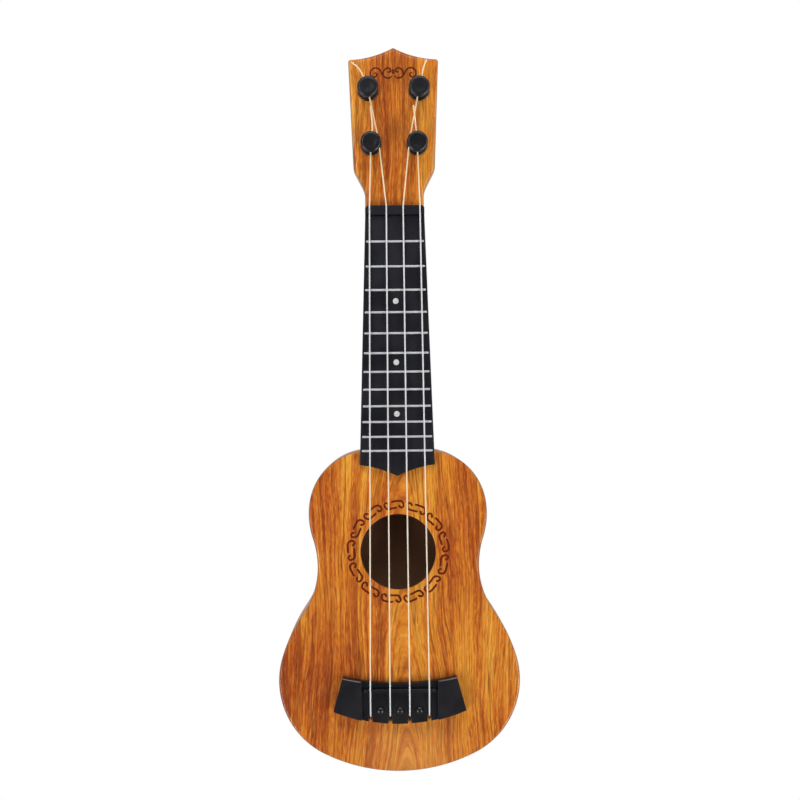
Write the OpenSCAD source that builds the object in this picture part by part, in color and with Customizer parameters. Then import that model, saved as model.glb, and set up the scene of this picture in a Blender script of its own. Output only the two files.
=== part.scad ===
// Small four-string toy ukulele. It stands upright here: X is across the
// body, +Z runs up the neck and the strings face -Y. The origin is on the
// ground under the middle of the instrument.

/* [Body] */
// Height from the tail of the body to the tip of the head
total_h = 431.2; // [415:0.1:450]
// Half of the width of the straight top edge of the body
shoulder_x = 16.8; // [16:0.1:20]
// Depth of the body from soundboard to back
body_depth = 50.5; // [46:0.5:54]
// Thickness of the moulded walls
wall = 2.4; // [1.8:0.1:3]
// Radius of the sound hole
hole_r = 22.3; // [18:0.1:25]
// Height of the centre of the sound hole
hole_z = 130.5; // [125:0.1:134]

/* [Neck and head] */
// Depth of the front shell, from soundboard to parting line
front_depth = 8; // [7:0.5:10]
// Thickness of the head
head_depth = 14; // [13:0.5:16]
// Thickness of the neck behind the soundboard plane
neck_depth = 21; // [19:0.5:24]
// Half width of the neck at the nut
nut_half = 17.6; // [17:0.05:19]
// Half width of the neck where it meets the body
neck_half = 22; // [21:0.1:24]

/* [Fretboard] */
// Open string length on which the fret spacing is based
scale_length = 280; // [270:1:290]
// Height of the fretboard end of the nut, where the scale starts
scale_top = 330.7; // [328:0.1:333]
// Number of frets
fret_count = 12; // [8:1:12]
// Thickness of the fretboard
board_t = 3.2; // [2.5:0.1:4]
// Width of a fret along the neck
fret_w = 1.3; // [1:0.1:1.6]
// Height of a fret above the fretboard
fret_h = 0.8; // [0.5:0.1:1]
// Diameter of the white position dots
dot_d = 3.4; // [3:0.1:5]

/* [Strings] */
// Diameter of the nylon strings
string_d = 0.9; // [0.7:0.05:1]
// Spacing of the strings at the nut
nut_pitch = 10; // [9.5:0.1:10.5]
// Spacing of the strings at the saddle
saddle_pitch = 11.6; // [11:0.1:12]

/* [Bridge] */
// Height of the saddle line
saddle_z = 49.1; // [46:0.1:50]
// Height of the wings of the bridge above the soundboard
wing_t = 7; // [6:0.1:8]
// Height of the middle block of the bridge
block_t = 4.6; // [4:0.1:5]
// Height of the saddle above the soundboard
saddle_t = 8; // [7.5:0.1:9]

/* [Tuning pegs] */
// Distance of the upper pegs from the centre line
upper_x = 15.2; // [14.5:0.1:16]
// Height of the upper pegs
upper_z = 405.2; // [403:0.1:406]
// Distance of the lower pegs from the centre line
lower_x = 13.7; // [13.5:0.1:14.5]
// Height of the lower pegs
lower_z = 372.7; // [371:0.1:373]
// Radius of the round cap
cap_r = 5.85; // [5.6:0.05:6.2]
// Height of the peg above the head
peg_h = 14.5; // [12:0.1:15]
// Radius of the string post
post_r = 4; // [3.6:0.1:4.1]

/* [Hidden] */
$fn = 96;

// Planes across the depth, front to back
front_y = -18;
split_y = front_y + front_depth;
head_y = front_y + head_depth;
neck_y = front_y + neck_depth;
back_y = front_y + body_depth;
board_y = front_y - board_t;
inner_y = front_y + wall;

// Angle between the points of a round stretch of outline
arc_step = 5;

// Outlines: each step of a chain is [radius, sweep], with a negative radius
// where the edge turns inwards, or [0, length] for a straight stretch.
upper_bout = [[36.2, 81.3], [47.3, 26.7]];
waist = [[-55.4, 15.8], [-46.2, 37.2]];
lower_bout = [[96, 18], [48.7, 80.5]];
tail_turn = 26.5;
// The outline is drawn down from the top edge of the body, whose height makes it end on the ground
body_top = -last(body_half(0, 0))[1];
head_start = 28;
head_edge = [[-61, 25], [1.5, 89.3], [0, 62.95], [6, 25], [0, 9.5], [-17.5, 27.3]];
// Back of the neck
neck_r = 27;
heel_r = 30;
heel_turn = 68;
heel_z = body_top + 28;
volute_r = 14;
volute_turn = 60;
volute_z = 332.7;
head_join = 352.7;

// Fretboard and nut
nut_w = 5.6;
nut_top = scale_top + nut_w;
nut_rise = 1.9;
board_end_drop = 6.5;
board_end_z = 182.3;
fret_gap = 0.9;
fret_seat = 0.6;
dot_frets = [3, 6, 9];
dot_t = 1;

// Bridge
bridge_top_half = 33.8;
bridge_end_half = 39.3;
bridge_top_end = 57;
bridge_top_mid = 53.2;
bridge_low_end = 37.1;
bridge_low_mid = 29.2;
block_half = 22.7;
slot_w = 2.2;
slot_z = 34.7;
knot_r = 1.3;
pin_pitch = saddle_pitch;
pin_z = 37;
pin_r = 1.5;
pin_head_r = 2.7;
pin_tail = 2;
saddle_half = 21;
saddle_w = 2;
saddle_seat = 1;

// Screws that hold the shells together: [x, z] in the body and in the neck and head
screw_r = 1.5;
screw_head_r = 2.8;
screw_head_t = 1.8;
boss_r = 4;
screw_fit = 0.02;
body_screws = [for (s = [-1, 1]) each [[s * 38, 168], [s * 59, 74], [s * 33, 19]]];
neck_screws = [[0, 388], [0, 352], [0, 262]];
body_seat_y = 12;
neck_seat_y = head_y - 2.4;

// Tuning pegs: numbered like the strings, from the left edge of the nut
peg_x = [-lower_x, -upper_x, upper_x, lower_x];
peg_z = [lower_z, upper_z, upper_z, lower_z];
cap_y = front_y - peg_h;
cap_t = 2.5;
flange_r = 6.2;
flange_t = 1.4;
shaft_r = 3;
running = 0.05;
drive_w = 4.2;
drive_end = 2.4;
key_y = head_y + 1;
key_hub_r = 3.9;
key_hub_t = 3.2;
key_t = 9;
key_r = 4.3;
key_half = 4.4;
key_screw_r = 1.2;
key_screw_head_r = 2.4;
key_screw_head_t = 1.5;
key_screw_seat = 4.2;
hole_bore_r = 0.55;
entry_y = front_y - 3;
// Each free end turns with its peg at its own height above the head, so that no two can meet
first_tail_rise = 4.1;
tail_step = 1.15;
tail_y = [for (level = [1, 0, 3, 2]) front_y - first_tail_rise - level * tail_step];
// Lean of each string where it passes through its post, clockwise from straight up
post_lean = [3, -12, 12, -3];
// Free ends beyond the posts, as [sideways, up] from the peg axis
tail_route = [
    [[0.8, 8], [0.8, 12.5], [0.3, 18], [-0.1, 22.7]],
    [[-2.2, 7], [-3.8, 10.5], [-6, 13.6], [-9.6, 16.3]],
    [[1.8, 7], [2.2, 10.7], [3.4, 14.2], [4.6, 16.8]],
    [[-0.6, 8], [-0.9, 12.5], [-1.5, 18], [-1.9, 22.6]]];

// ---------- outlines ----------

// Points of one arc after the point p, which is reached with heading h
// (degrees clockwise from +x). A negative radius turns the other way.
function arc_points(p, h, r, sweep) =
    let (n = ceil(sweep / arc_step), cx = p[0] - r * sin(h), cz = p[1] - r * cos(h))
    [for (i = [1 : n]) let (a = h + sign(r) * sweep * i / n) [cx + r * sin(a), cz + r * cos(a)]];

function line_point(p, h, length) = [[p[0] + length * cos(h), p[1] - length * sin(h)]];

function chain(p, h, steps, i = 0) =
    i == len(steps) ? [] :
    let (r = steps[i][0], s = steps[i][1],
        pts = r == 0 ? line_point(p, h, s) : arc_points(p, h, r, s))
    concat(pts, chain(pts[len(pts) - 1], h + sign(r) * s, steps, i + 1));

function last(list) = list[len(list) - 1];
function mirrored(pts) = [for (i = [len(pts) - 1 : -1 : 0]) [-pts[i][0], pts[i][1]]];
function inset_steps(steps, d) = [for (s = steps) s[0] == 0 ? s : [s[0] - d, s[1]]];

// Right half of the body outline, moved inwards by d from a top edge at the
// height top, closed by an arc that is level where it crosses the centre line
function body_half(d, top) =
    let (start = [shoulder_x, top - d],
        side = chain(start, 0, inset_steps(concat(upper_bout, waist, lower_bout), d)),
        end = last(side), turn = 180 - tail_turn)
    concat([start], side, arc_points(end, turn, end[0] / sin(turn), tail_turn));

function head_half() = concat([[0, total_h]], chain([0, total_h], head_start, head_edge));

function neck_half_at(z) =
    nut_half + (neck_half - nut_half) * (scale_top - z) / (scale_top - body_top);

module body_outline(d = 0) {
    half = body_half(d, body_top);
    polygon(concat(half, mirrored(half)));
}

// Head and neck in one, down into the top of the body
module neck_and_head_outline() {
    low = body_top - wall;
    half = concat(head_half(), [[nut_half, scale_top], [neck_half_at(low), low]]);
    polygon(concat(half, mirrored(half)));
}

// The hollow part of the neck, moved inwards by the wall
module neck_room_outline() {
    low = body_top + wall;
    high = volute_z - wall;
    a = neck_half_at(low) - wall;
    b = neck_half_at(high) - wall;
    polygon([[-a, low], [a, low], [b, high], [-b, high]]);
}

// Straightens the children's 2D outline, drawn as (x, z), and fills it from y0 to y1
module slab(y0, y1) {
    translate([0, y1, 0]) rotate([90, 0, 0]) linear_extrude(y1 - y0) children();
}

// Cylinder along Y
module rod(x, z, y0, y1, r) {
    translate([x, y1, z]) rotate([90, 0, 0]) cylinder(h = y1 - y0, r = r);
}

// Solid of revolution along Y: the profile's second coordinate runs towards -Y from y0
module turned(x, z, y0) {
    translate([x, y0, z]) rotate([90, 0, 0]) rotate_extrude() children();
}

// ---------- tubes ----------

function unit(v) = v / norm(v);
function heading_at(path, i) =
    unit(path[min(i + 1, len(path) - 1)] - path[max(i - 1, 0)]);

// Ring of 8 points round a path point, square to the path. The strings run
// mostly along Z, so X is never parallel to them.
function tube_ring(p, dir, r) =
    let (v = unit(cross(dir, [1, 0, 0])), u = cross(v, dir))
    [for (k = [0 : 7]) p + r * (cos(45 * k) * u + sin(45 * k) * v)];

// Closed tube along a path of [x, y, z] points with its own radius at each one
module tube(path, radii) {
    n = len(path);
    rings = [for (i = [0 : n - 1]) each tube_ring(path[i], heading_at(path, i), radii[i])];
    sides = [for (i = [0 : n - 2]) for (k = [0 : 7])
        let (a = i * 8 + k, b = i * 8 + (k + 1) % 8) each [[a, b, b + 8], [a, b + 8, a + 8]]];
    caps = [[for (k = [7 : -1 : 0]) k], [for (k = [0 : 7]) (n - 1) * 8 + k]];
    polyhedron(points = rings, faces = concat(sides, caps), convexity = 4);
}

// ---------- shells ----------

// Everything that both shells share in front view
module full_outline() {
    body_outline();
    neck_and_head_outline();
}

module screw_bosses(places, y0, y1, r) {
    for (p = places) rod(p[0], p[1], y0, y1, r);
}

module peg_bosses(y0, y1, r) {
    for (i = [0 : 3]) rod(peg_x[i], peg_z[i], y0, y1, r);
}

// Room inside the front shell: the body, and the neck up to the head
module front_room() {
    slab(inner_y, split_y + 1) body_outline(wall);
    slab(inner_y, split_y + 1) neck_room_outline();
    slab(inner_y, split_y + 1) polygon(
        [[-20, 362], [20, 362], [22.5, 416], [8, 419], [0, 423], [-8, 419], [-22.5, 416]]);
}

module front_shell() {
    color("peru") difference() {
        union() {
            difference() {
                slab(front_y, split_y) full_outline();
                front_room();
            }
            // locating lip that enters the back shell
            difference() {
                slab(inner_y, split_y + 2) body_outline(wall + 0.1);
                slab(inner_y - 1, split_y + 3) body_outline(wall + 1.5);
                translate([0, 0, body_top]) cube([200, 100, 2 * (wall + 3)], center = true);
            }
            screw_bosses(body_screws, inner_y - 0.5, body_seat_y - 0.1, boss_r);
            screw_bosses(neck_screws, inner_y - 0.5, split_y, boss_r);
            peg_bosses(inner_y - 0.5, split_y, shaft_r + 2.5);
        }
        rod(0, hole_z, front_y - 1, inner_y + 1, hole_r);
        screw_bosses(body_screws, 0, body_seat_y + 1, screw_r + screw_fit);
        screw_bosses(neck_screws, inner_y + 0.6, split_y + 1, screw_r + screw_fit);
        peg_bosses(front_y - 1, split_y + 1, shaft_r + running);
        for (i = [-1 : 1]) rod(i * pin_pitch, pin_z, front_y - 1, inner_y + 1, pin_r + screw_fit);
    }
}

// Side view behind the parting line, as (y, z): the sweep of the heel, the
// back of the neck, the round of the volute above it and the head
module neck_side() {
    heel = [for (i = [8 : -1 : 0]) let (a = i * heel_turn / 8)
        [neck_y + heel_r * (1 - cos(a)), heel_z - heel_r * sin(a)]];
    volute = [for (i = [0 : 8]) let (a = i * volute_turn / 8)
        [neck_y - volute_r * (1 - cos(a)), volute_z + volute_r * sin(a)]];
    polygon(concat([[split_y - 1, body_top - 4], [heel[0][0], body_top - 4]], heel, volute,
        [[head_y, head_join], [head_y, total_h + 1], [split_y - 1, total_h + 1]]));
}

// Bar with the round back of the neck, its rearmost line on the Z axis
module neck_bar(h, d = 0) {
    linear_extrude(h) polygon(concat([[-neck_r, -neck_r]], [for (a = [-60 : 6 : 60])
        [(neck_r - d) * sin(a), (neck_r - d) * cos(a) - neck_r]], [[neck_r, -neck_r]]));
}

module neck_and_head_back() {
    intersection() {
        slab(split_y, back_y) neck_and_head_outline();
        translate([-total_h / 2, 0, 0]) rotate([90, 0, 90]) linear_extrude(total_h) neck_side();
        union() {
            translate([0, neck_y, 0]) neck_bar(total_h);
            // the same bar leaning out along the heel
            translate([0, neck_y + 0.6, heel_z]) rotate([heel_turn / 2, 0, 0])
                translate([0, 0, -heel_r * 3]) neck_bar(heel_r * 3 + 8);
            translate([-total_h / 2, split_y - 1, volute_z]) cube([total_h, head_depth - front_depth + 1, 200]);
        }
    }
}

// Hollow of the neck between the body and the head
module neck_channel() {
    intersection() {
        slab(split_y - 1, back_y) neck_room_outline();
        translate([0, neck_y, 0]) neck_bar(total_h, wall);
    }
}

// Body tray with stepped round back edge
module body_tray() {
    slab(split_y, back_y - 2.6) body_outline();
    slab(back_y - 2.6, back_y - 1) body_outline(0.7);
    slab(back_y - 1, back_y) body_outline(2.3);
}

module back_shell() {
    color("sienna") difference() {
        union() {
            difference() {
                union() {
                    body_tray();
                    neck_and_head_back();
                }
                slab(split_y - 1, back_y - wall) body_outline(wall);
                neck_channel();
            }
            screw_bosses(body_screws, body_seat_y, back_y - wall / 2, boss_r);
            rod(neck_screws[2][0], neck_screws[2][1], split_y, neck_y - wall / 2, boss_r);
        }
        screw_bosses(body_screws, body_seat_y - 1, back_y + 1, screw_r + 0.2);
        screw_bosses(body_screws, body_seat_y + 3, back_y + 1, screw_head_r + 0.3);
        screw_bosses(neck_screws, split_y - 1, neck_y + 1, screw_r + 0.2);
        screw_bosses(neck_screws, neck_seat_y, neck_y + 1, screw_head_r + 0.3);
        peg_bosses(split_y - 1, head_y + 1, shaft_r + running);
    }
}

module screw(x, z, seat_y, tip_y) {
    rod(x, z, tip_y, seat_y + 0.2, screw_r);
    rod(x, z, seat_y, seat_y + screw_head_t, screw_head_r);
}

module shell_screws() {
    color("silver") {
        for (p = body_screws) screw(p[0], p[1], body_seat_y + 3, 1);
        for (p = neck_screws) screw(p[0], p[1], neck_seat_y, inner_y + 1);
    }
}

// ---------- fretboard ----------

function fret_z(n) = scale_top - scale_length * (1 - pow(2, -n / 12));
function dot_z(n) = (fret_z(n) + fret_z(n + 1)) / 2;

// The pointed lower end is a shallow inward curve on each side
module board_outline() {
    half = neck_half_at(board_end_z);
    curve = [for (i = [0 : 6]) let (t = i / 6)
        [half * (1 - t), board_end_z - board_end_drop * pow(t, 1.5)]];
    polygon(concat([[-nut_half, scale_top], [nut_half, scale_top]], curve,
        [for (i = [5 : -1 : 0]) [-curve[i][0], curve[i][1]]]));
}

// Bar with round ends across the board at fret n
module fret_outline(n) {
    z = fret_z(n);
    reach = neck_half_at(z) - fret_gap - fret_w / 2;
    translate([-reach, z - fret_w / 2]) square([2 * reach, fret_w]);
    for (s = [-1, 1]) translate([s * reach, z]) circle(d = fret_w, $fn = 24);
}

module frets() {
    color("gainsboro") for (n = [1 : fret_count])
        slab(board_y - fret_h, board_y + fret_seat) fret_outline(n);
}

module fretboard() {
    color("black") difference() {
        slab(board_y, front_y) board_outline();
        for (n = [1 : fret_count]) slab(board_y - 1, board_y + fret_seat) fret_outline(n);
        for (n = dot_frets) rod(0, dot_z(n), board_y - 1, board_y + dot_t, dot_d / 2);
    }
}

module fret_markers() {
    color("white") for (n = dot_frets) rod(0, dot_z(n), board_y - 0.1, board_y + dot_t, dot_d / 2);
}

function string_x(i, pitch) = (i - 1.5) * pitch;

module nut() {
    slot_y = board_y - nut_rise + string_d * 0.9;
    color("black") difference() {
        slab(board_y - nut_rise, front_y) polygon([[-nut_half, scale_top], [nut_half, scale_top],
            [nut_half, nut_top - 1.4], [nut_half - 1.4, nut_top], [1.4 - nut_half, nut_top],
            [-nut_half, nut_top - 1.4]]);
        for (i = [0 : 3]) translate([string_x(i, nut_pitch) - 0.6, board_y - nut_rise - 1, 0])
            cube([1.2, slot_y - board_y + nut_rise + 1, nut_top + 10]);
    }
}

// ---------- bridge ----------

// Edge of a shallow circular arc that drops from z1 at x = half to z0 at x = 0
function sag_edge(half, z0, z1, n) =
    let (rise = z1 - z0, r = (half * half + rise * rise) / (2 * rise))
    [for (i = [-n : n]) let (x = half * i / n) [x, z0 + r - sqrt(r * r - x * x)]];

module bridge_outline() {
    top = sag_edge(bridge_top_half, bridge_top_mid, bridge_top_end, 8);
    low = sag_edge(bridge_end_half, bridge_low_mid, bridge_low_end, 8);
    polygon(concat(low, [for (i = [len(top) - 1 : -1 : 0]) top[i]]));
}

module bridge() {
    block_y = front_y - block_t;
    color("black") difference() {
        slab(front_y - wing_t, front_y) bridge_outline();
        translate([-block_half, front_y - wing_t - 1, 0])
            cube([2 * block_half, wing_t - block_t + 1, 80]);
        translate([-saddle_half, block_y - 1, saddle_z - saddle_w / 2])
            cube([2 * saddle_half, 1 + saddle_seat, saddle_w]);
        for (i = [0 : 3]) {
            x = string_x(i, saddle_pitch);
            translate([x - slot_w / 2, block_y - 1, 20]) cube([slot_w, block_t + 2, slot_z - 20]);
            rod(x, slot_z + 0.6, front_y - 2 * knot_r - 0.3, front_y + 1, knot_r + 0.4);
        }
        for (i = [-1 : 1]) rod(i * pin_pitch, pin_z, block_y - 1, front_y + 1, pin_r + screw_fit);
    }
}

module saddle() {
    color("dimgray") slab(front_y - saddle_t, front_y - block_t + saddle_seat)
        translate([-saddle_half, saddle_z - saddle_w / 2]) square([2 * saddle_half, saddle_w]);
}

module bridge_pins() {
    block_y = front_y - block_t;
    rise = 1.7;
    dome_r = (pin_head_r * pin_head_r + rise * rise) / (2 * rise);
    color("black") for (i = [-1 : 1]) {
        rod(i * pin_pitch, pin_z, block_y - 0.1, inner_y + pin_tail, pin_r);
        turned(i * pin_pitch, pin_z, block_y) polygon(concat([[0, 0]],
            [for (k = [0 : 8]) let (x = pin_head_r * (1 - k / 8))
                [x, rise - dome_r + sqrt(dome_r * dome_r - x * x)]]));
    }
}

// ---------- tuning pegs ----------

module peg_at(i) {
    x = peg_x[i];
    z = peg_z[i];
    drop = tail_y[i] - entry_y;
    color([0.12, 0.12, 0.13]) difference() {
        union() {
            // flange, post and slightly hollow cap, turned as one piece
            turned(x, z, front_y - running) polygon([[0, 0], [flange_r, 0], [flange_r, flange_t - 0.4],
                [flange_r - 0.4, flange_t], [post_r, flange_t], [post_r, peg_h - cap_t],
                [cap_r - 0.5, peg_h - cap_t], [cap_r, peg_h - cap_t + 0.5], [cap_r, peg_h - 1],
                [cap_r - 0.35, peg_h - 0.4], [cap_r - 0.9, peg_h - running],
                [cap_r - 1.6, peg_h - 0.2], [cap_r - 3, peg_h - 0.4], [0, peg_h - 0.5]]);
            rod(x, z, front_y - flange_t / 2, key_y, shaft_r);
            translate([x - drive_w / 2, key_y - 1, z - drive_w / 2])
                cube([drive_w, drive_end + 1, drive_w]);
        }
        rod(x, z, key_y - 7, key_y + drive_end + 1, key_screw_r + screw_fit);
        translate([x, (entry_y + tail_y[i]) / 2, z]) rotate([0, post_lean[i], 0])
            rotate([atan(-drop / (2 * post_r)), 0, 0])
            cylinder(h = 2 * post_r + 2, r = hole_bore_r, center = true, $fn = 24);
    }
}

module peg_key_at(i) {
    x = peg_x[i];
    z = peg_z[i];
    grip_y = key_y + key_hub_t;
    color([0.12, 0.12, 0.13]) difference() {
        union() {
            rod(x, z, key_y, grip_y + 0.5, key_hub_r);
            slab(grip_y, grip_y + key_t) translate([x, z]) {
                square([2 * key_r, 2 * key_half], center = true);
                for (s = [-1, 1]) translate([0, s * key_half]) circle(r = key_r);
            }
        }
        translate([x - drive_w / 2 - screw_fit, key_y - 1, z - drive_w / 2 - screw_fit])
            cube([drive_w + 2 * screw_fit, drive_end + 1.1, drive_w + 2 * screw_fit]);
        rod(x, z, key_y, grip_y + key_t + 1, key_screw_r + 0.1);
        rod(x, z, key_y + key_screw_seat, grip_y + key_t + 1, key_screw_head_r + 0.2);
    }
}

module peg_screw_at(i) {
    seat_y = key_y + key_screw_seat;
    color("silver") {
        rod(peg_x[i], peg_z[i], key_y - 6, seat_y + 0.2, key_screw_r);
        rod(peg_x[i], peg_z[i], seat_y, seat_y + key_screw_head_t, key_screw_head_r);
    }
}

module peg_washers() {
    color("darkgray") for (i = [0 : 3]) difference() {
        rod(peg_x[i], peg_z[i], head_y, key_y - running, flange_r - 0.7);
        rod(peg_x[i], peg_z[i], head_y - 1, key_y + 1, shaft_r + running);
    }
}

// ---------- strings ----------

// Where string i meets its post, as [x, z], a distance r below the axis
function post_point(i, r) =
    [peg_x[i] - r * sin(post_lean[i]), peg_z[i] - r * cos(post_lean[i])];

// The two inner strings bend round the posts of the lower pegs
function bend_points(i) =
    let (side = i == 1 ? -1 : 1, rub = lower_x - post_r - string_d / 2 - 0.35)
    i == 0 || i == 3 ? [] :
    [[side * rub, entry_y - 0.1, lower_z - 0.6], [side * (rub + 0.3), entry_y - 0.1, lower_z + 2.4]];

// Path of string i from its knot under the bridge, through the slot, over the
// saddle and the nut and up to its post
function string_path(i) =
    let (xs = string_x(i, saddle_pitch), xn = string_x(i, nut_pitch), r = string_d / 2,
        block_y = front_y - block_t, top_y = front_y - saddle_t - r,
        nut_y = board_y - nut_rise + string_d * 0.4, end = post_point(i, post_r + 0.3))
    concat(
        [[xs, front_y - 1.2, slot_z + 1.9], [xs, front_y - 1.3, slot_z + 0.9],
            [xs, front_y - 1.5, slot_z - 0.2], [xs, front_y - 2.2, slot_z - 0.9],
            [xs, block_y + 0.4, slot_z - 0.9], [xs, block_y - 0.7, slot_z + 0.1],
            [xs, top_y, saddle_z - saddle_w / 2 - 0.1], [xs, top_y, saddle_z + saddle_w / 2]],
        [[xn, nut_y, scale_top + 0.4], [xn, nut_y, nut_top - 0.4]],
        bend_points(i),
        [[end[0], entry_y, end[1]]]);

module string_at(i) {
    path = string_path(i);
    r = string_d / 2;
    color("ivory") tube(path, [for (k = [0 : len(path) - 1]) k == 0 ? 0.6 * knot_r : k == 1 ? knot_r :
        k == 2 ? 0.7 * knot_r : r]);
}

// The stretch of string i in its post's hole and its free end beyond it
function tail_path(i) =
    let (low = post_point(i, post_r - 0.1), high = post_point(i, -post_r),
        far = post_point(i, -post_r - 1.2))
    concat([[low[0], entry_y, low[1]], [high[0], tail_y[i], high[1]], [far[0], tail_y[i], far[1]]],
        [for (p = tail_route[i]) [peg_x[i] + p[0], tail_y[i], peg_z[i] + p[1]]]);

module tail_at(i) {
    path = tail_path(i);
    color("ivory") tube(path, [for (p = path) string_d / 2]);
}

front_shell();
back_shell();
fretboard();
nut();
frets();
fret_markers();
bridge();
saddle();
bridge_pins();
shell_screws();
peg_washers();
for (i = [0 : 3]) {
    string_at(i);
    peg_at(i);
    tail_at(i);
    peg_key_at(i);
    peg_screw_at(i);
}
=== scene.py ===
"""Looks of a small four-string toy ukulele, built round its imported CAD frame.

X runs across the body, Z up the neck, and the strings face -Y. Shapes are worked out in
millimetres, as (x, z) in front view or (x, y, z), and scaled to metres as each mesh is built.
"""
import math

import bmesh
import bpy
from mathutils import Matrix, Vector
from mathutils.geometry import tessellate_polygon


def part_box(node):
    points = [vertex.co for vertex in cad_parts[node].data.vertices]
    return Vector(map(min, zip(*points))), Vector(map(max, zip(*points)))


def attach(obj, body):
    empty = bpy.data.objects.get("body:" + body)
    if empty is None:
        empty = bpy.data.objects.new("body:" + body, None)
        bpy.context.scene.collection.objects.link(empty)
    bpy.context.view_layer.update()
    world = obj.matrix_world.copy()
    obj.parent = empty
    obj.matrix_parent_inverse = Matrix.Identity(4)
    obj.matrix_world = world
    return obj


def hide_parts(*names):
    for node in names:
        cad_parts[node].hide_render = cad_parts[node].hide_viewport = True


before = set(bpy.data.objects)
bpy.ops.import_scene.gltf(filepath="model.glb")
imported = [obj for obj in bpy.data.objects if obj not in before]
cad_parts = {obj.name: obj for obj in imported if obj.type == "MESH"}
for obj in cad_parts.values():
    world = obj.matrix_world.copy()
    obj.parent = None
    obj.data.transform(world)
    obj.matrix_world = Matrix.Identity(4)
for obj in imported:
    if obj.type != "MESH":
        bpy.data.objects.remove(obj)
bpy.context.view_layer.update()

MM = 0.001


# ---------- places taken from the frame ----------

def box_mm(node):
    low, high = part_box(node)
    return low / MM, high / MM


FRONT_Y = box_mm("front_shell")[0].y
SPLIT_Y = box_mm("back_shell")[0].y
BACK_Y = box_mm("back_shell")[1].y
BOARD_Y = box_mm("fretboard")[0].y
HEAD_Y = box_mm("peg_washers")[0].y
KEY_Y = box_mm("peg_key_1")[0].y
TIP_Z = box_mm("front_shell")[1].z
SCALE_TOP = box_mm("nut")[0].z
NUT_TOP = box_mm("nut")[1].z
NUT_Y = box_mm("nut")[0].y
NUT_HALF = box_mm("nut")[1].x
PEGS = [(sum(c.x for c in box_mm(f"peg_{i}")) / 2, sum(c.z for c in box_mm(f"peg_{i}")) / 2)
        for i in range(1, 5)]
CAP_Y = box_mm("peg_1")[0].y
CAP_R = (box_mm("peg_1")[1].x - box_mm("peg_1")[0].x) / 2
SADDLE_Z = (box_mm("saddle")[0].z + box_mm("saddle")[1].z) / 2
SADDLE_Y = box_mm("saddle")[0].y

# ---------- sizes of the shapes, in millimetres ----------

WALL = 2.4
INNER_Y = FRONT_Y + WALL
GROOVE = 0.3
# Clearance between pieces that meet, and between pieces that turn
GAP = 0.02
RUN = 0.05

# Outline of the body from its straight top edge: arcs as (radius, sweep in degrees)
SHOULDER_X = 16.8
UPPER_BOUT = [(36.2, 81.3), (47.3, 26.7)]
WAIST = [(-55.4, 15.8), (-46.2, 37.2)]
LOWER_BOUT = [(96, 18), (48.7, 80.5)]
TAIL_TURN = 26.5
# Outline of the head from its tip, with (0, length) for a straight stretch
HEAD_START = 28
HEAD_EDGE = [(-61, 25), (1.5, 89.3), (0, 62.95), (6, 25), (0, 9.5), (-17.5, 27.3)]
NECK_HALF = 22

HOLE_R = 22.3
HOLE_Z = 130.5
HOLE_LIP = 0.5

# Back of the neck
NECK_BACK_Y = 3
HEEL_R = 30
HEEL_TURN = 68
VOLUTE_R = 14
VOLUTE_TURN = 60
VOLUTE_Z = 332.7
NECK_ROUND = 2.5
VOLUTE_ROUND = 6

# Frets, with the scale's length from the nut
SCALE_LENGTH = 280
FRET_COUNT = 12
FRET_W = 1.3
FRET_H = 0.8
FRET_SEAT = 0.6
FRET_WALL = 0.1
FRET_GAP = 0.9
DOT_FRETS = (3, 6, 9)
DOT_R = 1.7
BOARD_END_Z = 182.3
BOARD_END_DROP = 6.5
BOARD_END_CURVE = 1.5

# Pegs and the keys behind the head
FLANGE_R = 6.2
FLANGE_T = 1.4
POST_R = 4
SHAFT_R = 3
CAP_T = 2.5
CAP_RIM = 1.9
KEY_HUB_R = 3.9
KEY_HUB_T = 3.2
KEY_T = 9
KEY_R = 4.3
KEY_HALF = 4.4
KEY_SEAT = 4.2
KEY_BORE_R = 2.6
WASHER_R = 5.5

# Screws: places as (x, z), and the planes that their heads rest on
BODY_SCREWS = [(s * x, z) for s in (-1, 1) for x, z in ((38, 168), (59, 74), (33, 19))]
HEAD_SCREWS = [(0, 388), (0, 352)]
NECK_SCREW = (0, 262)
BODY_SEAT_Y = 15
NECK_SEAT_Y = HEAD_Y - 2.4
SCREW_R = 1.5
SCREW_HEAD_R = 2.8
SCREW_HEAD_T = 1.8
COUNTERBORE_R = 3.1
PEG_SCREW_R = 1.2
PEG_SCREW_REACH = 6
PEG_SCREW_HEAD_R = 2.4
PEG_SCREW_HEAD_T = 1.5

# Strings
STRING_R = 0.45
NUT_PITCH = 10
SADDLE_PITCH = 11.6
SLOT_Z = 34.7
BLOCK_Y = FRONT_Y - 4.6
WING_X = 22.7
WING_TOP = 53.2
WING_CURVE = 3.8 / 33.8 ** 2
# How far below the top edge of the bridge's wings the line of painted highlight runs
HIGHLIGHT_DEPTH = 0.5
ENTRY_Y = FRONT_Y - 3
POST_LEAN = (3, -12, 12, -3)
FIRST_TAIL_RISE = 4.1
TAIL_STEP = 1.15
KNOT_RADII = (0.55, 1.1, 1.3, 1.1, 1.25, 0.95, 0.5)
TAIL_Y = [FRONT_Y - FIRST_TAIL_RISE - level * TAIL_STEP for level in (1, 0, 3, 2)]
TAIL_ROUTE = [[(0.8, 8), (0.8, 12.5), (0.3, 18), (-0.1, 22.7)],
              [(-2.2, 7), (-3.8, 10.5), (-6, 13.6), (-9.6, 16.3)],
              [(1.8, 7), (2.2, 10.7), (3.4, 14.2), (4.6, 16.8)],
              [(-0.6, 8), (-0.9, 12.5), (-1.5, 18), (-1.9, 22.6)]]
PIN_Z = 37
PIN_HEAD_R = 2.7
PIN_R = 1.5
PIN_RISE = 1.7


# ---------- outlines ----------

# Most degrees between two points of an arc
ARC_STEP = 2.5


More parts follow.
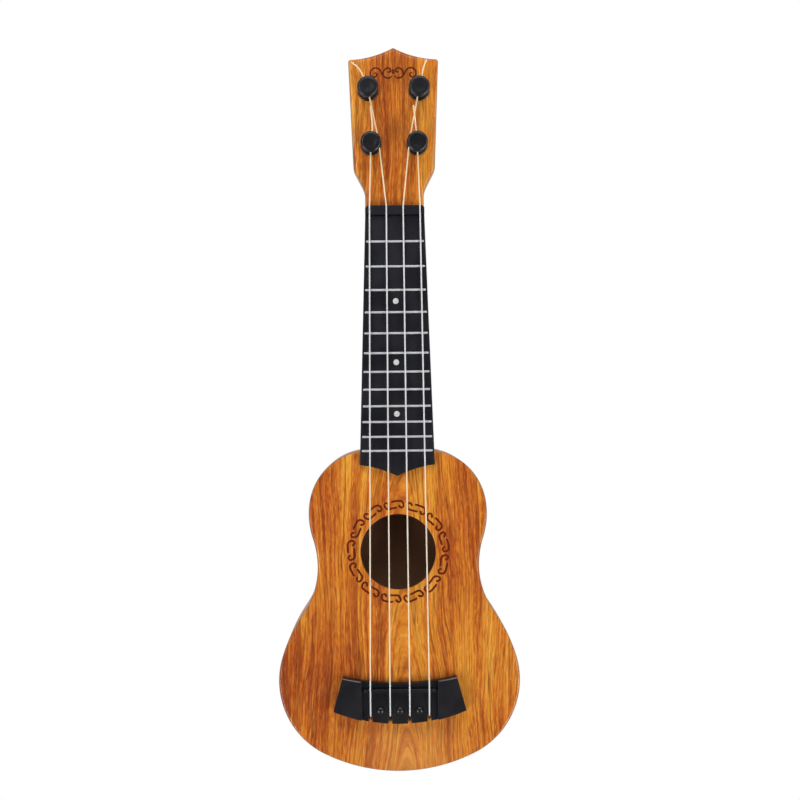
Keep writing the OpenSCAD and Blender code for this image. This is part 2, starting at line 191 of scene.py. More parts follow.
def chain(start, heading, steps):
    """Points after start along arcs (radius, sweep) and lines (0, length). The heading is in
    degrees clockwise from +X, and a negative radius turns the other way."""
    points, (x, z) = [], start
    for radius, size in steps:
        h = math.radians(heading)
        if radius == 0:
            x, z = x + size * math.cos(h), z - size * math.sin(h)
            points.append((x, z))
            continue
        cx, cz = x - radius * math.sin(h), z - radius * math.cos(h)
        count = max(2, math.ceil(size / ARC_STEP))
        turn = math.copysign(size, radius)
        for i in range(1, count + 1):
            a = math.radians(heading + turn * i / count)
            points.append((cx + radius * math.sin(a), cz + radius * math.cos(a)))
        x, z = points[-1]
        heading += turn
    return points


def body_half(top):
    """Right half of the body, closed by an arc that is level at the centre line."""
    start = (SHOULDER_X, top)
    side = chain(start, 0, UPPER_BOUT + WAIST + LOWER_BOUT)
    turn = 180 - TAIL_TURN
    tail = chain(side[-1], turn, [(side[-1][0] / math.sin(math.radians(turn)), TAIL_TURN)])
    return [start] + side + tail


BODY_TOP = -body_half(0)[-1][1]
HEEL_Z = BODY_TOP + 28


def neck_half_at(z):
    return NUT_HALF + (NECK_HALF - NUT_HALF) * (SCALE_TOP - z) / (SCALE_TOP - BODY_TOP)


def head_half():
    return [(0, TIP_Z)] + chain((0, TIP_Z), HEAD_START, HEAD_EDGE)


def mirrored(half):
    """Closes a right half, drawn from the top to the bottom, with its mirror image."""
    return half + [(-x, z) for x, z in reversed(half) if abs(x) > 0.001]


def body_outline():
    return mirrored(body_half(BODY_TOP))


def full_outline():
    """Head, neck and body in one, clockwise from the tip of the head."""
    z = BODY_TOP
    for _ in range(4):
        a = math.asin((neck_half_at(z) - SHOULDER_X) / UPPER_BOUT[0][0])
        z = BODY_TOP - UPPER_BOUT[0][0] * (1 - math.cos(a))
    body = [p for p in body_half(BODY_TOP) if p[0] > neck_half_at(z) or p[1] < z]
    neck = [(neck_half_at(h), h) for h in (SCALE_TOP, 295, 260, 225, z)]
    return mirrored(head_half() + neck + body)


def inset(outline, distance):
    """A closed clockwise outline moved inwards, by one distance or by one for each point."""
    count = len(outline)
    distances = distance if isinstance(distance, list) else [distance] * count
    moved = []
    for i, (x, z) in enumerate(outline):
        px, pz = outline[i - 1]
        qx, qz = outline[(i + 1) % count]
        a = Vector((z - pz, px - x)).normalized()
        b = Vector((qz - z, x - qx)).normalized()
        corner = (a + b) / max(0.3, 1 + a.dot(b))
        moved.append((x + corner.x * distances[i], z + corner.y * distances[i]))
    return moved


def circle(x, z, r, count=48):
    turns = [2 * math.pi * k / count for k in range(count)]
    return [(x + r * math.sin(t), z + r * math.cos(t)) for t in turns]


def stadium(x, z, half, r):
    """Bar with round ends along Z, clockwise from its top."""
    turns = [math.pi * (k / 16 - 0.5) for k in range(17)]
    top = [(x + r * math.sin(t), z + half + r * math.cos(t)) for t in turns]
    return top + [(2 * x - px, 2 * z - pz) for px, pz in top]


def fret_bar(z, reach, r):
    """Bar with round ends along X, clockwise from its left end."""
    turns = [math.pi * k / 8 for k in range(9)]
    right = [(reach + r * math.sin(t), z + r * math.cos(t)) for t in turns]
    return right + [(-x, 2 * z - pz) for x, pz in right]


def round_over(width, depth, count=8, power=2.0):
    """(inset, depth) pairs from a face to a wall round a soft edge."""
    pairs = []
    for k in range(count + 1):
        a = math.pi / 2 * k / count
        across = width * (1 - math.sin(a) ** (2 / power))
        pairs.append((across, depth * (1 - math.cos(a) ** (2 / power))))
    return pairs


# ---------- meshes ----------

# Points of one shape that are closer than this become one
MERGE = 0.002
# Angle in degrees above which an edge is shaded as sharp
SHARP = 35


def placed(name, data):
    """A new object in the scene."""
    made = bpy.data.objects.new(name, data)
    bpy.context.scene.collection.objects.link(made)
    return made


class Shape:
    """Rings and rows of points, in millimetres, and the faces between them."""

    def __init__(self):
        self.points, self.faces, self.paints = [], [], []

    def ring(self, outline, y):
        return self.row([(x, y, z) for x, z in outline])

    def row(self, points):
        first = len(self.points)
        self.points += points
        return list(range(first, len(self.points)))

    def face(self, corners, paint=0):
        self.faces.append(tuple(corners))
        self.paints.append(paint)

    def join(self, a, b, paint=0, closed=True):
        for i in range(len(a) if closed else len(a) - 1):
            j = (i + 1) % len(a)
            self.face((a[i], a[j], b[j], b[i]), paint)

    def stack(self, rings, paint=0, closed=True):
        for a, b in zip(rings, rings[1:]):
            self.join(a, b, paint, closed)

    def cap(self, ring, holes=(), paint=0):
        loops = [ring, *holes]
        ids = [i for loop in loops for i in loop]
        outlines = [[Vector(self.points[i]) for i in loop] for loop in loops]
        for corners in tessellate_polygon(outlines):
            self.face([ids[k] for k in corners], paint)

    def lathe(self, x, z, profile, count):
        """Turns a profile of (radius, y) points round an axis along Y. Radius 0 closes it."""
        rings = []
        for r, y in profile:
            outline = circle(x, z, r, count) if r else [(x, z)]
            rings.append(self.ring(outline, y))
        for a, b in zip(rings, rings[1:]):
            if len(a) > 1 and len(b) > 1:
                self.join(a, b)
            elif len(a) > 1 or len(b) > 1:
                centre, loop = (a[0], b) if len(a) == 1 else (b[0], a)
                for i in range(len(loop)):
                    self.face((centre, loop[i], loop[(i + 1) % len(loop)]))

    def tube(self, path, radii, sides=12):
        """Round tube along a path of Vectors, with closed ends."""
        rings, across = [], Vector((1, 0, 0))
        for i, point in enumerate(path):
            along = (path[min(i + 1, len(path) - 1)] - path[max(i - 1, 0)]).normalized()
            across = (across - along * across.dot(along)).normalized()
            other = along.cross(across)
            rings.append(self.row([
                tuple(point + radii[i] * (math.cos(t) * across + math.sin(t) * other))
                for t in (2 * math.pi * k / sides for k in range(sides))]))
        self.stack(rings)
        self.face(reversed(rings[0]))
        self.face(rings[-1])

    def build(self, name, materials, body="instrument", replaces=(), sharp=SHARP,
              flats=False):
        """Makes the piece, as an object that rides on a body."""
        mesh = bpy.data.meshes.new(name)
        mesh.from_pydata([[c * MM for c in p] for p in self.points], [], self.faces)
        for polygon, paint in zip(mesh.polygons, self.paints):
            polygon.material_index = paint
        for material in materials:
            mesh.materials.append(material)
        finish_piece(mesh, name, body, replaces, sharp, flats)


def finish_piece(mesh, name, body, replaces, sharp, flats=False):
    """Cleans a mesh, makes its shading smooth up to the angle sharp, and places the piece on its
    body in place of the CAD nodes that it replaces.
    """
    work = bmesh.new()
    work.from_mesh(mesh)
    bmesh.ops.remove_doubles(work, verts=work.verts, dist=MERGE * MM)
    bmesh.ops.recalc_face_normals(work, faces=work.faces)
    work.to_mesh(mesh)
    work.free()
    mesh.shade_smooth()
    mesh.set_sharp_from_angle(angle=math.radians(sharp))
    piece = placed(name, mesh)
    if flats:
        weighted = piece.modifiers.new("flat_faces", "WEIGHTED_NORMAL")
        weighted.keep_sharp = True
        weighted.weight = 80
    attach(piece, body)
    if replaces:
        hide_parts(*replaces)
    return piece


NUT_ROUND = 0.4
BRIDGE_ROUND = 0.8
SADDLE_ROUND = 0.3


def bevelled_copy(node, name, material, width):
    """A copy of a CAD node's mesh with small rounds along its edges."""
    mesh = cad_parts[node].data.copy()
    work = bmesh.new()
    work.from_mesh(mesh)
    bmesh.ops.remove_doubles(work, verts=work.verts, dist=0.01 * MM)
    bmesh.ops.dissolve_limit(work, angle_limit=math.radians(1), verts=work.verts, edges=work.edges)
    work.to_mesh(mesh)
    work.free()
    mesh.materials.clear()
    mesh.materials.append(material)
    piece = finish_piece(mesh, name, "instrument", (node,), sharp=60)
    bevel = piece.modifiers.new("edge_rounds", "BEVEL")
    bevel.width = width * MM
    bevel.segments = 4
    bevel.limit_method = "ANGLE"
    bevel.angle_limit = math.radians(40)
    bevel.use_clamp_overlap = True
    weighted = piece.modifiers.new("flat_faces", "WEIGHTED_NORMAL")
    weighted.keep_sharp = True


# ---------- materials ----------

class Tree:
    """A node tree, built by short calls."""

    def __init__(self, tree):
        self.tree = tree

    def node(self, kind, links=None, **settings):
        made = self.tree.nodes.new(kind)
        for key, value in settings.items():
            setattr(made, key, value)
        for socket, value in (links or {}).items():
            self.feed(made.inputs[socket], value)
        return made

    def feed(self, socket, value):
        if isinstance(value, bpy.types.NodeSocket):
            self.tree.links.new(value, socket)
        else:
            socket.default_value = value

    def math(self, operation, a, b=0.0):
        return self.node("ShaderNodeMath", {0: a, 1: b}, operation=operation).outputs[0]

    def split(self, vector):
        """The X, Y and Z of a vector."""
        return self.node("ShaderNodeSeparateXYZ", {0: vector}).outputs

    def combine(self, **axes):
        return self.node("ShaderNodeCombineXYZ", axes).outputs[0]

    def scaled(self, vector, scale):
        return self.node("ShaderNodeMapping", {"Vector": vector, "Scale": scale}).outputs[0]

    def place(self, scale):
        """Object coordinates, in metres, times a scale for each axis."""
        return self.scaled(self.node("ShaderNodeTexCoord").outputs["Object"], scale)

    def noise(self, where, detail, roughness=0.5):
        made = self.node("ShaderNodeTexNoise", {
            "Vector": where, "Scale": 1.0, "Detail": detail, "Roughness": roughness})
        return made.outputs["Fac"]

    def ramp(self, value, stops):
        made = self.node("ShaderNodeValToRGB", {"Fac": value})
        elements = made.color_ramp.elements
        while len(elements) < len(stops):
            elements.new(0.5)
        for element, (position, colour) in zip(elements, stops):
            element.position = position
            element.color = (*colour, 1) if len(colour) == 3 else colour
        return made.outputs["Color"]

    def between(self, value, low, high, to_low=0.0, to_high=1.0):
        return self.node("ShaderNodeMapRange", {
            "Value": value, "From Min": low, "From Max": high, "To Min": to_low,
            "To Max": to_high}, interpolation_type="SMOOTHSTEP").outputs["Result"]

    def mix(self, share, a, b, blend="MIX"):
        made = self.node("ShaderNodeMix", data_type="RGBA", blend_type=blend)
        self.feed(made.inputs[0], share)
        self.feed(made.inputs[6], a)
        self.feed(made.inputs[7], b)
        return made.outputs[2]


class Paint(Tree):
    """A material and its shader."""

    def __init__(self, name, **shader):
        self.material = bpy.data.materials.new(name)
        self.material.use_nodes = True
        super().__init__(self.material.node_tree)
        self.shader = self.tree.nodes["Principled BSDF"]
        for socket, value in shader.items():
            self.shader.inputs[socket.replace("_", " ")].default_value = value

    def bump(self, height, distance, strength=1.0):
        made = self.node("ShaderNodeBump", {"Height": height, "Distance": distance * MM,
                                            "Strength": strength})
        self.feed(self.shader.inputs["Normal"], made.outputs["Normal"])


# Printed wood, with its places and lengths in metres, unlike the shapes
FLAT_FACING = 0.6
SWAY_SCALE = (22, 0, 7)
SWAY = 0.022
ARCHES_BELOW_Z = 0.25
MIDDLE_Y = 0.0075
ARCHES_FROM_MIDDLE = 0.0175
HEART_LEFT = 0.060
HEART_SHIFT = 0.063
ARCH_SPREAD = 0.0016
ARCH_LOW = 0.01
LAYER_DRIFT = 3.6
# Soft patches: x, z and reach in millimetres, and how much lighter they are
POOLS = ((-62, 55, 56, -0.38), (60, 70, 58, 0.27), (46, 148, 42, -0.08), (0, 385, 60, -0.03),
         (-48, 152, 44, -0.15), (8, 12, 40, 0.10), (14, 392, 22, 0.10), (-22, 385, 30, 0.06))
TAN_POOL = (5, 6, 48, 0.35)
TAN = (0.62, 0.27, 0.085, 1)
WOOD_TONES = [(0.10, (0.27, 0.045, 0.006)), (0.32, (0.44, 0.095, 0.010)),
              (0.50, (0.57, 0.165, 0.016)), (0.66, (0.66, 0.235, 0.021)),
              (0.88, (0.74, 0.34, 0.042))]
VEIN = (0.16, 0.025, 0.003, 1)
FINE_LINE = (0.24, 0.045, 0.005, 1)
TICK = (0.17, 0.03, 0.004, 1)
PALE_FIBRE = (0.86, 0.46, 0.10, 1)
# Grey-brown line where the print film ends round the front edge, partly a painted reflection of the
# bright sides, and its darker tone round the sound hole
EDGE_LINE_AND_REFLECTION = (0.27, 0.18, 0.115, 1)
HOLE_RIM = (0.10, 0.03, 0.008, 1)
RIM_START = 1.8
RIM_END = 2.4


def wood_print(name, shade, gloss):
    """Printed wood film: long streaks along Z in gold, orange and rust, with fine dark lines."""
    p = Paint(name, Coat_Weight=gloss, Coat_Roughness=0.07, Roughness=0.34,
              Specular_IOR_Level=0.22)
    where = p.node("ShaderNodeTexCoord")
    facing = p.split(where.outputs["Normal"])
    x, y, z = p.split(where.outputs["Object"])
    # the print is laid flat on the front and back, and runs along the sides
    steep = p.math("ABSOLUTE", facing["Y"])
    flat = p.math("GREATER_THAN", steep, FLAT_FACING)
    across = p.node("ShaderNodeMix", {"Factor": flat, "A": y, "B": x}).outputs[0]
    plane = p.combine(X=across, Y=flat, Z=z)
    sway = p.math("SUBTRACT", p.noise(p.scaled(plane, SWAY_SCALE), 2), 0.5)
    bent = p.math("ADD", across, p.math("MULTIPLY", sway, SWAY))
    # growth lines meet in arches along the middle of the body's front and back, and run
    # straight elsewhere
    deep = p.math("ABSOLUTE", p.math("SUBTRACT", y, MIDDLE_Y))
    body = p.math("MULTIPLY", p.math("LESS_THAN", z, ARCHES_BELOW_Z),
                  p.math("GREATER_THAN", deep, ARCHES_FROM_MIDDLE))
    body = p.math("MULTIPLY", body, flat)
    heart = p.math("SUBTRACT", p.math("MULTIPLY", body, HEART_SHIFT), HEART_LEFT)
    aside = p.math("SUBTRACT", bent, heart)
    rise = p.math("MULTIPLY", p.math("ADD", z, ARCH_LOW), ARCH_SPREAD)
    arched = p.math("ADD", p.math("MULTIPLY", aside, aside), rise)
    arched = p.math("SQRT", p.math("ABSOLUTE", arched))
    layer = p.math("ADD", flat, p.math("MULTIPLY", x, LAYER_DRIFT))
    grain = p.combine(X=arched, Y=layer, Z=z)

    def streaks(across_scale, along_scale, detail, roughness=0.55):
        return p.noise(p.scaled(grain, (across_scale, 7, along_scale)), detail, roughness)

    def pool(x_mm, z_mm, reach, amount):
        """A soft round patch of lighter or darker tone."""
        far = p.node("ShaderNodeVectorMath", {
            0: p.combine(X=x, Z=z), 1: (x_mm * MM, 0, z_mm * MM)}, operation="DISTANCE")
        return p.between(far.outputs["Value"], 0, reach * MM, amount, 0)

    def hairlines(streak, core, edge, broken):
        """Thin lines where a slow noise crosses its middle value."""
        off = p.math("ABSOLUTE", p.math("SUBTRACT", streak, 0.5))
        return p.math("MULTIPLY", p.between(off, core, edge, 1, 0), broken)

    def laid(colour, share, weight, over):
        return p.mix(p.math("MULTIPLY", share, weight), colour, over)

    fine = streaks(620, 9, 3.5, 0.65)
    fibre = streaks(1500, 200, 2, 0.6)
    parts = [(streaks(60, 4, 1.5), 0.9), (streaks(230, 6, 2.5), 0.8), (fine, 1.35), (fibre, 1.0)]
    tone = 0.5
    for part, weight in parts:
        tone = p.math("ADD", tone, p.math("MULTIPLY", p.math("SUBTRACT", part, 0.5), weight))
    for patch in POOLS:
        tone = p.math("ADD", tone, pool(*patch))
    colour = p.ramp(tone, WOOD_TONES)
    veins = hairlines(streaks(210, 5, 1.0), 0.006, 0.028, p.between(fine, 0.35, 0.6))
    colour = laid(colour, veins, 0.7, VEIN)
    lines = hairlines(streaks(430, 8, 1.0), 0.01, 0.045, p.between(fibre, 0.4, 0.6))
    colour = laid(colour, lines, 0.5, FINE_LINE)
    colour = laid(colour, p.between(streaks(1250, 60, 1.0), 0.57, 0.69), 0.55, TICK)
    colour = laid(colour, p.between(streaks(900, 90, 1.5), 0.52, 0.70), 0.16, PALE_FIBRE)
    colour = p.mix(pool(*TAN_POOL), colour, TAN)
    colour = p.mix(1.0, colour, (*shade, 1), "MULTIPLY")
    # the film ends in a grey-brown line round the front edge, which also stands in as a painted
    # reflection of the bright sides on that edge; round the sound hole the line is dark brown
    front = p.between(y, (FRONT_Y + RIM_START) * MM, (FRONT_Y + RIM_END) * MM, 1, 0)
    rim = p.math("MULTIPLY", p.between(steep, 0.45, 0.75, 1, 0), front)
    near_hole = p.math("GREATER_THAN", pool(0, HOLE_Z, 50, 1.0), 0.4)
    colour = p.mix(rim, colour, p.mix(near_hole, EDGE_LINE_AND_REFLECTION, HOLE_RIM))
    p.feed(p.shader.inputs["Base Color"], colour)
    # no clear coat on the edge line with its painted reflection, and on surfaces that face up
    dull = p.math("MAXIMUM", rim, p.between(facing["Z"], 0.12, 0.3))
    coat = p.math("SUBTRACT", gloss, p.math("MULTIPLY", dull, gloss))
    p.feed(p.shader.inputs["Coat Weight"], coat)
    p.bump(p.noise(p.place((900, 900, 900)), 1), 0.012, 0.25)
    return p.material


# Painted shade on the bridge's recessed lower block, as a share of its colour
BLOCK_PAINTED_SHADE = 0.8
# Grey of the painted highlight along the top edges of the bridge's wings
PAINTED_HIGHLIGHT_GREY = (0.17, 0.17, 0.175, 1)


def black_plastic(name, colour=(0.0058, 0.0059, 0.0097), roughness=0.42, coarse=0.02, grain=2200,
                  sheen=0.4, bridge=False):
    """Satin moulded plastic with a faint uneven skin and slight sheen changes. The bridge's has
    painted shade on its recessed lower block and a painted highlight along the top edges of its
    wings."""
    p = Paint(name, Specular_IOR_Level=sheen)
    cloud = p.noise(p.place((60, 60, 60)), 3)
    tint = p.ramp(cloud, [(0.35, [c * 0.85 for c in colour]), (0.65, [c * 1.2 for c in colour])])
    if bridge:
        x, y, z = p.split(p.place((1 / MM, 1 / MM, 1 / MM)))
        # painted shade: the lower block, recessed between the wings, is darkened
        tint = p.mix(p.between(y, BLOCK_Y - 1.2, BLOCK_Y - 0.4), tint,
                     (*[c * BLOCK_PAINTED_SHADE for c in colour], 1))
        # painted highlight: a pale, mottled line along the wings' top edges, where their bevel
        # would catch the light
        edge = p.math("MULTIPLY", p.math("MULTIPLY", x, x), WING_CURVE)
        edge = p.math("ADD", edge, WING_TOP - HIGHLIGHT_DEPTH)
        off = p.math("ABSOLUTE", p.math("SUBTRACT", z, edge))
        wing = p.between(p.math("ABSOLUTE", x), WING_X - 0.5, WING_X + 1.5)
        rub = p.math("MULTIPLY", p.between(off, 0.1, 0.45, 1, 0), wing)
        rub = p.math("MULTIPLY", rub, p.between(cloud, 0.35, 0.6, 0.6, 1))
        tint = p.mix(rub, tint, PAINTED_HIGHLIGHT_GREY)
    p.feed(p.shader.inputs["Base Color"], tint)
    rough = p.between(cloud, 0.3, 0.7, roughness - 0.05, roughness + 0.06)
    p.feed(p.shader.inputs["Roughness"], rough)
    p.bump(p.noise(p.place((grain, grain, grain)), 2), coarse, 0.5)
    return p.material


def cloudy(p, where, detail, dark, light, rough=None):
    """A base colour between two tones, and a roughness between two values, by one soft noise."""
    cloud = p.noise(p.place(where), detail)
    p.feed(p.shader.inputs["Base Color"], p.ramp(cloud, [(0.3, dark), (0.7, light)]))
    if rough:
        p.feed(p.shader.inputs["Roughness"], p.between(cloud, 0.3, 0.7, *rough))
    return p.material


def pale_plastic(name, colour):
    p = Paint(name, Specular_IOR_Level=0.5)
    return cloudy(p, (350, 350, 350), 2, [c * 0.9 for c in colour], colour, (0.29, 0.41))


# Painted warm bounce light from the wood on the strings, and the strings' own near white
NYLON_PAINTED_WOOD_BOUNCE = [(0.3, (0.99, 0.81, 0.50)), (0.7, (1.0, 0.87, 0.59))]
WHITE_NYLON = [(0.3, (0.81, 0.81, 0.82)), (0.7, (0.89, 0.89, 0.895))]
HOLE_SHARE = 0.45


def nylon():
    """Slightly see-through monofilament: near white, with a painted warm glow of light bounced from
    the wood where it passes over wood.
    """
    p = Paint("nylon", Roughness=0.25, Transmission_Weight=0.28, IOR=1.5)
    cloud = p.noise(p.place((900, 900, 60)), 1)
    height = p.math("DIVIDE", p.split(p.place((1, 1, 1)))["Z"], MM)
    board = p.math("MULTIPLY", p.between(height, BOARD_END_Z - 4, BOARD_END_Z),
                   p.between(height, NUT_TOP - 1, NUT_TOP + 1, 1, 0))
    from_hole = p.math("ABSOLUTE", p.math("SUBTRACT", height, HOLE_Z))
    hole = p.between(from_hole, HOLE_R - 3, HOLE_R, HOLE_SHARE, 0)
    bridge = p.between(height, SADDLE_Z + 4, SADDLE_Z + 7, 1, 0)
    plain = p.math("MAXIMUM", board, p.math("MAXIMUM", hole, bridge))
    # painted bounce light: warm where the string lies over wood, its own near white over the board,
    # the hole and the bridge
    tint = p.mix(plain, p.ramp(cloud, NYLON_PAINTED_WOOD_BOUNCE), p.ramp(cloud, WHITE_NYLON))
    p.feed(p.shader.inputs["Base Color"], tint)
    return p.material


def zinc():
    p = Paint("zinc", Metallic=1.0)
    return cloudy(p, (1500, 1500, 1500), 3, (0.52, 0.52, 0.54), (0.66, 0.66, 0.67), (0.28, 0.42))


def rubber():
    p = Paint("rubber", Specular_IOR_Level=0.25)
    return cloudy(p, (1200, 1200, 1200), 3, (0.03, 0.03, 0.03), (0.05, 0.05, 0.05), (0.7, 0.85))


def inside_plastic():
    """Bare brown plastic inside the shells."""
    p = Paint("inside_plastic", Specular_IOR_Level=0.2, Roughness=0.6)
    return cloudy(p, (40, 40, 40), 2, (0.22, 0.10, 0.05), (0.28, 0.13, 0.065))


def print_ink():
    """Dark red-brown ink of the printed ornament."""
    p = Paint("print_ink", Roughness=0.45, Specular_IOR_Level=0.15)
    return cloudy(p, (500, 500, 120), 2, (0.085, 0.011, 0.002), (0.14, 0.018, 0.003))


WOOD = wood_print("wood_print", (1, 1, 1), 0.6)
BROWN = wood_print("brown_print", (0.86, 0.8, 0.72), 0.5)
INSIDE = inside_plastic()
BLACK = black_plastic("board_black", sheen=0.33)
BRIDGE_BLACK = black_plastic("bridge_black", (0.0068, 0.0068, 0.0092), 0.34, bridge=True)
PEG_BLACK = black_plastic("peg_black", (0.0095, 0.0095, 0.0117), 0.27, 0.28, 420, sheen=0.37)
PIN_BLACK = black_plastic("pin_black", (0.007, 0.007, 0.008), 0.24, 0.005)
FRET_GREY = pale_plastic("fret_grey", (0.52, 0.52, 0.535))
DOT_WHITE = pale_plastic("dot_white", (0.56, 0.56, 0.57))
NYLON = nylon()
ZINC = zinc()
RUBBER = rubber()
INK = print_ink()


# ---------- shells ----------

EDGE_BODY = 1.6
EDGE_HEAD = 2.7
EDGE_CORNER = 1.15
HEAD_CORNER = (26.6, TIP_Z - 7.4)
CORNER_REACH = 8
EDGE_DEPTH = 2.0
# Heights between which the edge widens from the body's width to the head's
EDGE_GROWS = (336, 350)


def edge_width_at(x, z):
    """The soft front edge is wider round the head than round the body, and tight at its corners."""
    t = min(1, max(0, (z - EDGE_GROWS[0]) / (EDGE_GROWS[1] - EDGE_GROWS[0])))
    width = EDGE_BODY + (EDGE_HEAD - EDGE_BODY) * t
    near = math.hypot(abs(x) - HEAD_CORNER[0], z - HEAD_CORNER[1]) / CORNER_REACH
    near = min(1, near)
    return EDGE_CORNER + (width - EDGE_CORNER) * near * near * (3 - 2 * near)


def front_shell():
    """Soundboard, neck front and head front in one moulding, with its walls and openings."""
    s = Shape()
    outline = full_outline()
    widths = [edge_width_at(x, z) for x, z in outline]
    edge = round_over(1, EDGE_DEPTH, 10, 2.2)
    rings = [s.ring(inset(outline, [w + 0.05 for w in widths]), FRONT_Y)]
    rings += [s.ring(inset(outline, [share * w for w in widths]), FRONT_Y + depth)
              for share, depth in edge]
    rings += [s.ring(outline, SPLIT_Y - GROOVE), s.ring(inset(outline, GROOVE), SPLIT_Y - GAP)]
    s.stack(rings)
    inner = [s.ring(inset(outline, WALL), SPLIT_Y - GAP), s.ring(inset(outline, WALL), INNER_Y)]
    s.stack([rings[-1], *inner], 1)
    lip = [s.ring(circle(0, HOLE_Z, HOLE_R + w, 120), FRONT_Y + d)
           for w, d in round_over(HOLE_LIP, HOLE_LIP, 8)]
    wall = s.ring(circle(0, HOLE_Z, HOLE_R, 120), INNER_Y)
    s.stack([*lip, wall])
    fronts, backs = [lip[0]], [wall]
    for x, z in PEGS:
        bore = circle(x, z, SHAFT_R + RUN, 32)
        front, back = s.ring(bore, FRONT_Y), s.ring(bore, INNER_Y)
        s.join(front, back, 1)
        fronts.append(front)
        backs.append(back)
    s.cap(rings[0], fronts)
    s.cap(inner[-1], backs, 1)
    s.build("front_shell_print", [WOOD, INSIDE],
                   replaces=("front_shell",), flats=True)


def counterbore(s, x, z, y_face, y_seat):
    """Ring of a screw's recess in a back face, and the recess behind it."""
    rings = [s.ring(circle(x, z, COUNTERBORE_R + w, 32), y_face - d)
             for w, d in round_over(0.4, 0.4, 3)]
    floor = s.ring(circle(x, z, COUNTERBORE_R, 32), y_seat)
    s.stack([*rings, floor])
    s.cap(floor)
    return rings[0]


BACK_EDGE = 3.6


def body_tray(s):
    outline = body_outline()
    edge = list(reversed(round_over(BACK_EDGE, BACK_EDGE, 10, 2.2)))
    rings = [s.ring(inset(outline, GROOVE), SPLIT_Y + GAP), s.ring(outline, SPLIT_Y + GROOVE)]
    rings += [s.ring(inset(outline, w), BACK_Y - d) for w, d in edge]
    rings.append(s.ring(inset(outline, BACK_EDGE + 0.05), BACK_Y))
    s.stack(rings)
    floor_y = BACK_Y - WALL
    room = [s.ring(inset(outline, WALL + w), y) for w, y in
            ((0, SPLIT_Y + GAP), (0, floor_y - 2), (0.6, floor_y - 0.6), (2, floor_y))]
    s.stack([rings[0], *room], 1)
    s.cap(room[-1], (), 1)
    s.cap(rings[-1], [counterbore(s, x, z, BACK_Y, BODY_SEAT_Y) for x, z in BODY_SCREWS])


def neck_depth_at(z):
    """How far back the neck reaches at a height: heel, straight neck, then the volute."""
    if z < HEEL_Z:
        a = min(math.radians(HEEL_TURN), math.asin(min(1, (HEEL_Z - z) / HEEL_R)))
        return NECK_BACK_Y + HEEL_R * (1 - math.cos(a))
    if z > VOLUTE_Z:
        a = math.asin(min(1, (z - VOLUTE_Z) / VOLUTE_R))
        return NECK_BACK_Y - VOLUTE_R * (1 - math.cos(a))
    return NECK_BACK_Y


# Half the height of the open stretch round the neck's screw, and the columns that it lies between
NECK_PATCH = 5
PATCH_COLUMNS = (19, 23)
NECK_COLUMNS = 40
# Heights between which the neck's section turns from round to square
NECK_SQUARES = (300, 333)


def neck_back(s):
    """Rounded back of the neck, lofted from inside the body to under the head's back face."""
    heel = [HEEL_Z - HEEL_R * math.sin(math.radians(a)) for a in range(HEEL_TURN, 0, -4)]
    volute = [VOLUTE_Z + VOLUTE_R * math.sin(math.radians(a))
              for a in range(0, VOLUTE_TURN + 5, 4)]
    straight = [HEEL_Z + (VOLUTE_Z - HEEL_Z) * k / 14 for k in range(14)]
    straight = [z for z in straight if abs(z - NECK_SCREW[1]) > NECK_PATCH + 0.5]
    straight += [NECK_SCREW[1] - NECK_PATCH, NECK_SCREW[1] + NECK_PATCH]
    straight.sort()
    rows = []
    for z in [BODY_TOP - 4, *heel, *straight, *volute]:
        depth = neck_depth_at(z) - SPLIT_Y
        half = neck_half_at(min(z, SCALE_TOP))
        t = min(1, max(0, (z - NECK_SQUARES[0]) / (NECK_SQUARES[1] - NECK_SQUARES[0])))
        power = NECK_ROUND + (VOLUTE_ROUND - NECK_ROUND) * t * t
        row = [(half - GROOVE, SPLIT_Y + GAP, z)]
        for k in range(NECK_COLUMNS + 1):
            a = math.pi * k / NECK_COLUMNS
            x = math.copysign(abs(math.cos(a)) ** (2 / power), math.cos(a)) * half
            y = SPLIT_Y + GROOVE + (depth - GROOVE) * math.sin(a) ** (2 / power)
            row.append((x, y, z))
        row.append((GROOVE - half, SPLIT_Y + GAP, z))
        rows.append(s.row(row))
    # the nearly flat middle of one stretch is left open for a screw's recess
    low = 1 + len(heel) + straight.index(NECK_SCREW[1] - NECK_PATCH)
    left, right = PATCH_COLUMNS
    s.stack(rows[:low + 1])
    s.stack(rows[low + 1:])
    under, over = rows[low], rows[low + 1]
    for columns in (slice(0, left + 1), slice(right, None)):
        s.join(under[columns], over[columns], closed=False)
    s.join([under[-1], under[0]], [over[-1], over[0]], closed=False)
    patch = under[left:right + 1] + over[left:right + 1][::-1]
    s.cap(patch, [counterbore(s, *NECK_SCREW, NECK_BACK_Y, NECK_SEAT_Y)])
    s.face(rows[0])
    s.face(rows[-1])


HEAD_BACK_EDGE = 1.5


def head_back(s):
    """Back plate of the head, with a soft edge and two recessed screws."""
    half = [p for p in head_half() if p[1] > SCALE_TOP + 1.5] + [(NUT_HALF, SCALE_TOP + 1)]
    outline = mirrored(half)
    edge = list(reversed(round_over(HEAD_BACK_EDGE, HEAD_BACK_EDGE, 7)))
    rings = [s.ring(inset(outline, GROOVE), SPLIT_Y + GAP), s.ring(outline, SPLIT_Y + GROOVE)]
    rings += [s.ring(inset(outline, w), HEAD_Y - d) for w, d in edge]
    rings.append(s.ring(inset(outline, HEAD_BACK_EDGE + 0.05), HEAD_Y))
    s.stack(rings)
    s.cap(rings[0])
    s.cap(rings[-1], [counterbore(s, x, z, HEAD_Y, NECK_SEAT_Y) for x, z in HEAD_SCREWS])


def back_shell():
    s = Shape()
    body_tray(s)
    neck_back(s)
    head_back(s)
    s.build("back_shell_print", [BROWN, INSIDE],
                   replaces=("back_shell",), flats=True)


# ---------- screws ----------

# Cross recess, as shares of the head's radius, and how much narrower its floor is
CROSS_ARM = 0.62
CROSS_HALF = 0.17
CROSS_DEPTH = 0.45
CROSS_TAPER = 0.7


